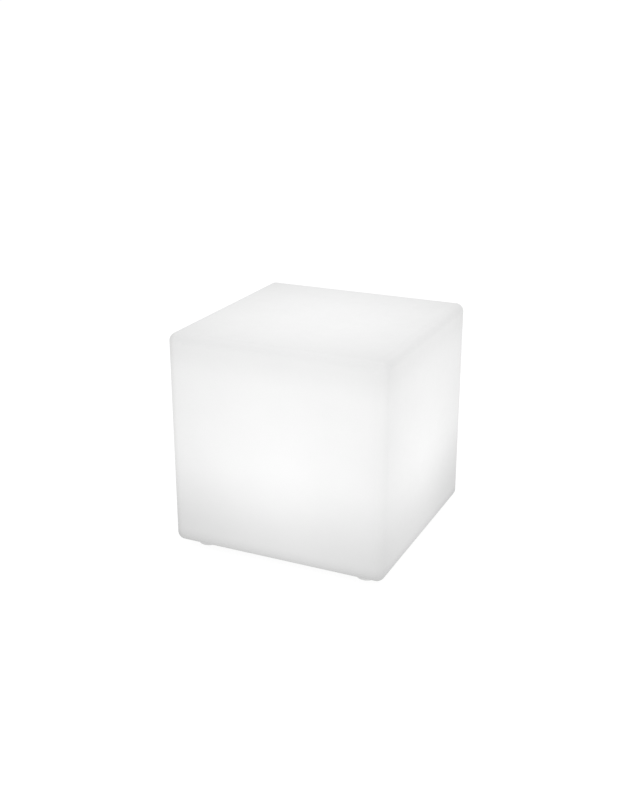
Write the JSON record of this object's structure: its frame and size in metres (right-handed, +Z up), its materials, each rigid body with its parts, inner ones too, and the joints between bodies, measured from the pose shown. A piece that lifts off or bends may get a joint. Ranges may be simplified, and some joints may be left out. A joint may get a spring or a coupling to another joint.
{
  "type": "led cube light",
  "caption": "Cordless outdoor light: a moulded translucent cube on screwed-on feet, with a sealed rechargeable light engine let into its underside.",
  "frame": {"origin": "on the floor under the middle of the cube", "axes": "+Z up; -Y out of the larger face seen in the picture, +X out of the smaller one"},
  "size_m": [0.4, 0.4, 0.403],
  "materials": {
    "moulded_polyethylene": "satin, translucent",
    "foot_polyethylene": "satin",
    "white_abs": "fine moulded texture",
    "grey_silicone": "matt",
    "button_rubber": "matt",
    "brass": "turned",
    "stainless": "satin",
    "plated_screws": "zinc plated",
    "nickel": "nickel plated",
    "black_nylon": "matt",
    "white_nylon": "satin",
    "clear_acrylic": "polished",
    "frosted_polycarbonate": "frosted",
    "green_laminate": "solder mask",
    "white_laminate": "white solder mask",
    "emitter_resin": "resin",
    "plate_aluminium": "satin",
    "can_sleeve": "sleeved",
    "cell_sleeve": "shrunk sleeve",
    "red_pvc": "insulated wire",
    "black_pvc": "insulated wire"
  },
  "bodies": {
    "root": {"base_gasket": "grey_silicone", "base_housing": "white_abs", "base_inserts": "brass", "base_screws": "stainless", "battery_cell_back": "cell_sleeve", "battery_cell_front": "cell_sleeve", "battery_clamp": "black_nylon", "battery_lead_black": "black_pvc", "battery_lead_red": "red_pvc", "battery_socket": "white_nylon", "battery_tray": "black_nylon", "board_screws": "plated_screws", "cell_links": "nickel", "charger_chip": "black_nylon", "charging_jack": "nickel", "charging_leads": "black_pvc", "clamp_screws": "plated_screws", "control_board": "green_laminate", "controller_chip": "black_nylon", "diffuser_shell": "moulded_polyethylene", "emitter_board": "white_laminate", "emitter_board_screws": "plated_screws", "emitter_header": "white_nylon", "emitter_lead": "black_pvc", "emitter_socket": "white_nylon", "foot_front_left": "foot_polyethylene", "foot_front_right": "foot_polyethylene", "foot_inserts": "brass", "foot_rear_left": "foot_polyethylene", "foot_rear_right": "foot_polyethylene", "foot_screws": "stainless", "heat_plate": "plate_aluminium", "hinge_pin": "stainless", "jack_nut": "nickel", "jack_pin": "nickel", "jack_terminals": "nickel", "jack_washer": "nickel", "lens_cover": "frosted_polycarbonate", "lens_screws": "plated_screws", "lens_seal": "grey_silicone", "light_emitters": "emitter_resin", "power_inductor": "black_nylon", "remote_receiver": "black_nylon", "smoothing_capacitor": "can_sleeve", "status_emitter": "emitter_resin", "status_window": "clear_acrylic", "tact_switch": "black_nylon", "tray_screws": "plated_screws", "vent_nut": "black_nylon", "vent_plug": "black_nylon"},
    "button": {"power_button": "button_rubber", "button_seal": "grey_silicone", "switch_plunger": "white_nylon"},
    "port_lid": {"port_door": "white_abs", "port_seal": "grey_silicone"}
  },
  "joints": [
    {"name": "button_press", "type": "slide", "parent": "root", "child": "button", "axis": [0, 0, 1], "range_m": [0, 0.0008], "stiffness_N_per_m": 1200, "springref_m": -0.0004},
    {"name": "port_hinge", "type": "hinge", "parent": "root", "child": "port_lid", "pos_m": [0, -0.04, 0.0137], "axis": [-1, 0, 0], "range_deg": [0, 135]}
  ]
}
